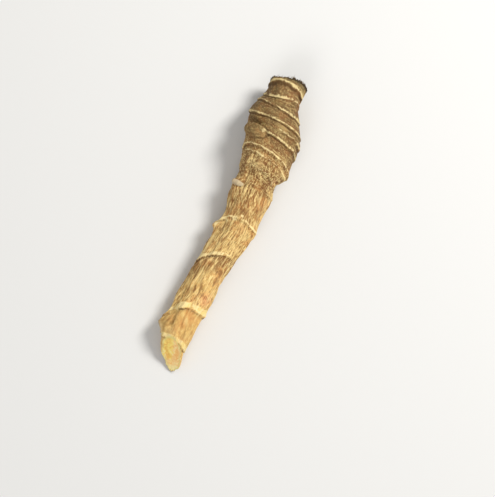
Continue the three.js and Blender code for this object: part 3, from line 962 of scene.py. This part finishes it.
def bark_finish(looks):
    """Dry bark: dull brown and pitted on the crown, streaked tan and orange below it, with cream rings."""
    material, nodes, shader = surface("bark")
    rise, noise, field = nodes.rise, nodes.noise, nodes.field
    growth, skin, side, bud = field("growth"), field("skin", "FLOAT_VECTOR"), field("side"), field("bud")
    crown, step = nodes.beyond(growth, CROWN_ZONE), nodes.beyond(growth, STEP_ZONE)
    # Pale rubbed bark, also used below for painted highlights.
    light = nodes.mix(crown, looks.bark_pale_and_highlight, looks.crown_pale_and_highlight)
    patch = noise(skin, 4.2, 3.0, 0.6)
    warm = noise(nodes.vector("ADD", skin, (0.05, 0.02, 0.01)), 3.6, 3.0, 0.6)
    mottle = noise(drawn_out(nodes, skin, 1.6), 1.0, 3.0, 0.65, 0.5)
    spotted = 1 - nodes.beyond(growth, NECK_ZONE) * 0.6
    lines = growth_lines(nodes, skin)
    calm = nodes.most(nodes.beyond(growth, TIP_ZONE) * 0.75, bud * 0.35)
    calm = nodes.most(calm, nodes.beyond(growth, BROW_ZONE) * 0.45)
    stroke = (strokes(nodes, skin, crown, step) - 0.5) * (1 - calm) + 0.5
    grain = noise(skin, 0.2, 3.0, 0.65)

    base = nodes.painted(
        nodes.ramp((growth - RAMP_START * MM) / (RAMP_LENGTH * MM), bark_stops(looks)),
        (rise(patch, 0.52, 0.72) * 0.4, light),
        (rise(patch, 0.46, 0.28) * 0.3, looks.bark_olive),
        (rise(warm, 0.48, 0.68) * ((1 - step) * 0.4 + 0.2), looks.bark_orange),
        (field("blush") * 0.75, looks.bark_blush),
        (rise(mottle, 0.49, 0.38) * (spotted * 0.4), looks.bark_russet),
        (rise(mottle, 0.52, 0.64) * (spotted * 0.42), light),
        (rise(stroke, 0.5, 0.4) * 0.66, looks.bark_dark_and_shade),
        (rise(stroke, 0.51, 0.6) * 0.76, light),
        # a painted highlight on the bud's raised dome
        (bud * 0.16, light),
    )
    right = rise(side, 0.5, -0.2) * step
    # A painted rim highlight along the side edges of the shaft, laid on below.
    edge = rise(nodes.math("ABSOLUTE", side), 0.93, 0.99) * (1 - crown)
    height = field("height")
    base = nodes.painted(
        base,
        (rise(lines, 0.46, 0.38) * (right * 0.65), looks.bark_dark_and_shade),
        (rise(lines, 0.55, 0.62) * (right * 0.58), light),
        (edge * rise(patch + stroke, 0.9, 1.1) * 0.45, light),
        # painted shade in the crown's pits
        (pits(nodes, skin) * (crown * 0.35 + 0.15), looks.crease_shade),
        # painted shade in the low places of the fine relief and a painted highlight on its high places
        (rise(height, -0.02, -0.22) * 0.45, looks.bark_dark_and_shade),
        (rise(height, 0.02, 0.2) * 0.25, light),
    )
    worn = (noise(skin, 0.5, 2.0, 0.6) - 0.5) * 1.5 + (noise(skin, 3.1, 1.0) - 0.5) * 1.3
    dull = nodes.beyond(growth, DULL_ZONE) * rise(mottle, 0.56, 0.44)
    cream = nodes.mix(dull, looks.ring_cream, looks.ring_yellow)
    base = nodes.painted(
        base,
        # painted shade in the leaf scars' creases and behind them
        (rise(field("crease") + worn * 0.7, 0.35, 0.95) * 0.8, looks.crease_shade),
        # painted shade in the creases round the bud, the stub and the rootlet's foot, and on that foot's
        # flank
        (field("line") * 0.85, looks.crease_shade),
        (rise(field("ring") + worn, 0.5, 0.95) * (0.8 - crown * 0.16), cream),
        (nodes.most(field("collar"), rise(field("stub"), 0.1, 0.7)) * 0.75, looks.scar_pale),
        # painted shade in the sunk middles of the rootlet scars
        (field("heart") * 0.7, looks.crease_shade),
        (nodes.beyond(growth + worn * (0.6 * MM), TORN_ZONE) * 0.92, looks.torn_dark),
    )
    roughness = 0.78 - rise(stroke, 0.5, 0.8) * 0.12 + grain * 0.1
    rough = stroke * 0.9 + grain * 0.4 + lines * step * 0.4
    finish_surface(nodes, shader, base, roughness, rough, 0.18 * MM)
    return material


def bark_stops(looks):
    """The bark's colour from the tip to the crown, with some painted shade, as ramp stops."""
    return [((x - RAMP_START) / RAMP_LENGTH, getattr(looks, "bark_" + name)) for x, name in BARK_STOPS]


def flesh_finish(looks):
    """The cut across the tip: fibrous orange-yellow flesh inside a thin pale rind."""
    material, nodes, shader = surface("cut_flesh")
    place = nodes.object_place()
    x, y, _ = nodes.parts(place)
    blotch = nodes.noise(place, 2.2, 3.0, 0.6) - (y - 2.6 * MM) / (9 * MM)
    speck = nodes.noise(place, 1.3, 4.0, 0.6, 0.8)
    base = nodes.painted(
        nodes.mix(nodes.rise(blotch, 0.42, 0.56), looks.flesh_yellow, looks.flesh_pink),
        (nodes.rise(speck, 0.52, 0.62) * 0.7, looks.flesh_light),
        (nodes.rise(speck, 0.48, 0.38) * 0.6, looks.flesh_dark),
        (nodes.beyond(x, FLESH_END) * 0.8, looks.flesh_light),
        (nodes.rise(nodes.field("flesh"), 0.16, 0.04) * 0.8, looks.rind_green),
    )
    grain = nodes.noise(place, 0.2, 3.0, 0.6)
    finish_surface(nodes, shader, base, 0.62 + grain * 0.16, grain * 0.5 + speck * 0.6, 0.14 * MM)
    return material


def torn_finish(looks):
    """The torn crown end: dark brown, fibrous and crumbly."""
    material, nodes, shader = surface("torn_end")
    place = nodes.object_place()
    ragged = nodes.noise(place, 0.8, 3.0, 0.65)
    speck = nodes.noise(place, 0.28, 2.0, 0.6)
    base = nodes.mix(nodes.rise(ragged, 0.42, 0.68), looks.torn_dark, looks.torn_brown)
    base = nodes.mix(nodes.rise(speck, 0.56, 0.74) * 0.5, base, looks.bark_dark_and_shade)
    finish_surface(nodes, shader, base, 0.82 + speck * 0.1, speck * 0.6 + ragged * 0.5, 0.2 * MM)
    return material


def fibre_finish(looks):
    """Dry fibres of the torn end: dark at the foot, lighter and browner towards the tip."""
    material, nodes, shader = surface("torn_fibre")
    place = nodes.object_place()
    vary = nodes.noise(place, 1.1, 2.0)
    streak = nodes.noise(nodes.vector("MULTIPLY", place, (0.2, 1, 1)), 0.12, 2.0)
    base = nodes.mix(nodes.rise(vary, 0.4, 0.66), looks.torn_dark, looks.torn_brown)
    base = nodes.mix(nodes.rise(nodes.field("along"), 0.3, 1.0) * 0.35, base, looks.crown_pale_and_highlight)
    finish_surface(nodes, shader, base, 0.8 + streak * 0.1, streak, 0.06 * MM)
    return material


def floor_finish(looks):
    """Plain pale studio floor with the faintest tooth."""
    material, nodes, shader = surface("pale_floor")
    tooth = nodes.noise(nodes.object_place(), 3, 2.0)
    base = nodes.mix(tooth * 0.06, looks.floor_colour, tuple(c * 0.9 for c in looks.floor_colour))
    nodes.feed(shader, {"Base Color": base, "Roughness": 0.9, "Specular IOR Level": 0.1})
    return material


# Settings

def length(name, words, default):
    """A length that the user may change."""
    settings = {"default": default, "min": 0, "unit": "LENGTH", "precision": 5}
    return bpy.props.FloatProperty(name=name, description=words, **settings)


def share(name, words, default):
    """A share that the user may change."""
    settings = {"default": default, "min": 0, "max": 2, "subtype": "FACTOR"}
    return bpy.props.FloatProperty(name=name, description=words, **settings)


def colour(name, words, default):
    """A colour that the user may change."""
    settings = {"default": default, "min": 0, "max": 1, "size": 3, "subtype": "COLOR"}
    return bpy.props.FloatVectorProperty(name=name, description=words, **settings)


class RootShape(bpy.types.PropertyGroup):
    """Sizes of the root's relief."""

    ring_rise: share("Ring rise", "How high the leaf scars stand, as a share of their own rise", 0.85)
    crease_share: share("Crease share", "Depth of a leaf scar's crease, as a share of its rise", 0.45)
    furrow_share: share("Furrow share", "Depth of the long furrows, as a share of their own depth", 1.0)
    wrinkle_depth: length("Wrinkle depth", "Depth of the fine wrinkles of the bark", 0.2 * MM)
    pit_depth: length("Pit depth", "Depth of the small pits of the crown", 0.16 * MM)
    scar_stand: length("Scar stand", "Height of the collars round the rootlet scars", 0.36 * MM)
    fibre_length: length("Fibre length", "Length of the dry fibres of the torn end", 1.0 * MM)
    fibre_width: length("Fibre width", "Width of those fibres at the foot", 0.26 * MM)
    fibre_density: bpy.props.FloatProperty(
        name="Fibre density", description="Fibres on a square metre of the torn end", default=6.5e6, min=0
    )


class RootLooks(bpy.types.PropertyGroup):
    """Colours of the root and its stage."""

    bark_neck: colour("Neck bark", "Bark just below the torn end", srgb(90, 82, 50))
    bark_crown: colour("Crown bark", "Bark of the thick crown", srgb(106, 84, 47))
    # The step and fold colours also darken the bark just behind the leaf scar at -10.1: partly its own tone,
    # partly painted shade under that scar.
    bark_brow: colour("Upper crown bark", "Darker bark below the neck", srgb(97, 76, 43))
    bark_step: colour("Step bark", "Bark where the crown narrows", srgb(142, 105, 57))
    bark_fold: colour("Fold bark", "Browner bark just behind a leaf scar", srgb(172, 133, 77))
    bark_shaft: colour("Shaft bark", "Bark of the slim shaft", srgb(208, 172, 106))
    # Dark streaks and specks, and painted shade in the low places of the fine relief.
    bark_tip: colour("Tip bark", "Bark near the cut tip", srgb(220, 180, 108))
    # Pale rubbed bark, and painted highlights on the fine relief's high places and the shaft's side edges.
    bark_dark_and_shade: colour("Bark furrows", "Bottom of the furrows and pits", srgb(114, 72, 38))
    # Pale rubbed crown bark and the fibres' lighter tips, and painted highlights on the crown's fine relief
    # and the bud's dome.
    bark_pale_and_highlight: colour("Bark lights", "Rubbed places of the shaft", srgb(238, 210, 144))
    crown_pale_and_highlight: colour("Crown lights", "Rubbed places of the crown", srgb(178, 151, 98))
    scar_pale: colour("Scar pale", "Greyish collars and stubs", srgb(202, 186, 154))
    bark_olive: colour("Bark olive", "Dull greenish patches", srgb(160, 138, 78))
    bark_orange: colour("Bark orange", "Warm patches of the shaft", srgb(210, 148, 84))
    bark_russet: colour("Bark russet", "Red-brown mottling", srgb(176, 120, 68))
    bark_blush: colour("Bark blush", "Reddish spots", srgb(232, 162, 112))
    ring_cream: colour("Ring cream", "Crests of the leaf scars", srgb(244, 222, 162))
    # Painted shade: behind the leaf scars, in the creases round the bud, the stub and the rootlet's foot, on
    # that foot's flank, in the pits and in the rootlet scars' sunk middles.
    ring_yellow: colour("Ring yellow", "Dull patches of the broad scar near the tip", srgb(236, 212, 136))
    crease_shade: colour("Crease brown", "Dark line behind a leaf scar", srgb(84, 58, 26))
    flesh_yellow: colour("Flesh yellow", "Yellow of the cut flesh", srgb(255, 222, 120))
    flesh_pink: colour("Flesh orange", "Warm patches of the cut flesh", srgb(255, 212, 142))
    flesh_light: colour("Flesh light", "Light fibres of the cut flesh", srgb(255, 240, 172))
    flesh_dark: colour("Flesh dark", "Dark fibres of the cut flesh", srgb(238, 168, 78))
    rind_green: colour("Rind", "Thin rind at the rim of the cut", srgb(232, 216, 138))
    torn_dark: colour("Torn dark", "Darkest part of the torn crown end", srgb(52, 40, 24))
    torn_brown: colour("Torn brown", "Fibres of the torn crown end", srgb(104, 80, 48))
    floor_colour: colour("Floor", "Colour of the studio floor", (0.72, 0.72, 0.715))
    key_power: bpy.props.FloatProperty(
        name="Key light", description="Power of the key light", default=3.3, min=0, subtype="POWER"
    )
    sky_strength: bpy.props.FloatProperty(
        name="Sky", description="Strength of the light from all round", default=0.47, min=0
    )


# Pieces

class ROOT_OT_bark(bpy.types.Operator):
    """Build the root: its bark, its cut tip and its torn crown end"""

    bl_idname = "root.bark"
    bl_label = "Build Root"

    def execute(self, context):
        shape, looks = context.scene.root_shape, context.scene.root_looks
        places, fields, rows_of = plain_root()
        mesh = ring_mesh("root_bark", places, rows_of)
        for name, values in fields.items():
            kind = "FLOAT_VECTOR" if values.ndim == 2 else "FLOAT"
            key = "vector" if values.ndim == 2 else "value"
            mesh.attributes.new(name, kind, "POINT").data.foreach_set(key, values.astype(np.float32).ravel())
        piece = linked("root_bark", mesh)
        values = {name: getattr(shape, key) for name, key in Relief.SOCKETS}
        finishes = {"Bark": bark_finish(looks), "Flesh": flesh_finish(looks), "Torn": torn_finish(looks)}
        run_tree(piece, Relief().tree, {**values, **finishes})
        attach(piece, "root")
        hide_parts("root")
        return {"FINISHED"}


class ROOT_OT_fibres(bpy.types.Operator):
    """Stand short dry fibres on the torn crown end"""

    bl_idname = "root.fibres"
    bl_label = "Add Torn Fibres"

    def execute(self, context):
        shape, looks = context.scene.root_shape, context.scene.root_looks
        piece = linked("crown_fibres", bpy.data.objects["root_bark"].data.copy())
        values = {"Density": shape.fibre_density, "Fibre Length": shape.fibre_length}
        values.update({"Fibre Width": shape.fibre_width, "Fibre": fibre_finish(looks)})
        run_tree(piece, fibre_tree(), values)
        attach(piece, "root")
        return {"FINISHED"}


# The stage

PHOTO_SIZE = (495, 497)  # width and height of the photograph, in pixels
PIXEL = 0.25 * MM  # what a pixel of the photograph spans at the root's height
ROOT_MIDDLE = (229.5, 226.5)  # the pixel over the frame's x = 0, y = 0.9 mm
MIDDLE_SHIFT = 0.9 * MM
PHOTO_TURN = math.radians(68.0639)  # the root's axis, from the photograph's right
OUTLINE_HEIGHT = 6.0 * MM  # height of the root's outline above the floor
LENS = 100.0
SENSOR = 36.0
CLIP = (0.01, 10.0)
FLOOR_REACH = 2.0
FLOOR_DROP = 0.02 * MM  # the floor lies this far below the root
SKY_COLOUR = (1.0, 0.99, 0.97, 1.0)
# The lights: their direction in the photograph (right, up, above it), their distance and size in metres,
# their share of the key light's power, and their colour.
LIGHTS = (
    ("key_light", (0.75, 0.47, 0.95), 0.6, 0.2, 1.0, (1.0, 0.98, 0.94)),
    ("fill_light", (-0.5, -0.9, 1.0), 0.7, 0.4, 0.3, (1.0, 1.0, 1.0)),
)


def in_frame(right, up):
    """A direction in the photograph as x and y in the frame."""
    cos, sin = math.cos(PHOTO_TURN), math.sin(PHOTO_TURN)
    return right * cos + up * sin, up * cos - right * sin


def photo_place(u, v):
    """The frame's x and y under a pixel of the photograph."""
    x, y = in_frame((u - ROOT_MIDDLE[0]) * PIXEL, (ROOT_MIDDLE[1] - v) * PIXEL)
    return x, y + MIDDLE_SHIFT


def add_camera():
    """A long lens straight above the root, turned as the photograph is."""
    data = bpy.data.cameras.new("photo_camera")
    data.lens, data.sensor_width = LENS, SENSOR
    data.clip_start, data.clip_end = CLIP
    camera = linked("photo_camera", data)
    x, y = photo_place(PHOTO_SIZE[0] / 2, PHOTO_SIZE[1] / 2)
    reach = max(PHOTO_SIZE) * PIXEL * LENS / SENSOR
    camera.location = (x, y, OUTLINE_HEIGHT + reach)
    camera.rotation_euler = (0, 0, -PHOTO_TURN)
    bpy.context.scene.camera = camera


def add_light(name, towards, distance, size, power, colour):
    """A round area light that looks at the root."""
    right, up, above = towards
    way = Vector((*in_frame(right, up), above)).normalized()
    data = bpy.data.lights.new(name, "AREA")
    data.shape, data.size, data.energy, data.color = "DISK", size, power, colour
    light = linked(name, data)
    light.location = way * distance
    light.rotation_euler = way.to_track_quat("Z", "Y").to_euler()


class ROOT_OT_stage(bpy.types.Operator):
    """Build the floor, the lights and the camera"""

    bl_idname = "root.stage"
    bl_label = "Build Stage"

    def execute(self, context):
        looks = context.scene.root_looks
        mesh = bpy.data.meshes.new("floor")
        floor = bmesh.new()
        bmesh.ops.create_grid(floor, x_segments=2, y_segments=2, size=FLOOR_REACH)
        floor.transform(Matrix.Translation((0, 0, -FLOOR_DROP)))
        floor.to_mesh(mesh)
        floor.free()
        mesh.materials.append(floor_finish(looks))
        linked("floor", mesh)
        world = bpy.data.worlds.new("studio")
        world.use_nodes = True
        back = world.node_tree.nodes["Background"]
        back.inputs["Color"].default_value = SKY_COLOUR
        back.inputs["Strength"].default_value = looks.sky_strength
        context.scene.world = world
        for name, towards, distance, size, power, colour in LIGHTS:
            add_light(name, towards, distance, size, looks.key_power * power, colour)
        add_camera()
        context.scene.view_settings.view_transform = "Standard"
        return {"FINISHED"}


class ROOT_PT_panel(bpy.types.Panel):
    """Settings and steps of the root"""

    bl_label = "Leopards Bane Root"
    bl_idname = "ROOT_PT_panel"
    bl_space_type = "VIEW_3D"
    bl_region_type = "UI"
    bl_category = "Root"

    def draw(self, context):
        for settings in (context.scene.root_shape, context.scene.root_looks):
            for name in settings.__annotations__:
                self.layout.prop(settings, name)
        for step in STEPS:
            self.layout.operator(step.bl_idname)


STEPS = (ROOT_OT_bark, ROOT_OT_fibres, ROOT_OT_stage)
CLASSES = (RootShape, RootLooks, *STEPS, ROOT_PT_panel)


def register():
    for cls in CLASSES:
        bpy.utils.register_class(cls)
    bpy.types.Scene.root_shape = bpy.props.PointerProperty(type=RootShape)
    bpy.types.Scene.root_looks = bpy.props.PointerProperty(type=RootLooks)


def unregister():
    del bpy.types.Scene.root_looks
    del bpy.types.Scene.root_shape
    for cls in reversed(CLASSES):
        bpy.utils.unregister_class(cls)


def main():
    register()
    bpy.ops.root.bark()
    bpy.ops.root.fibres()
    bpy.ops.root.stage()


if __name__ == "__main__":
    main()
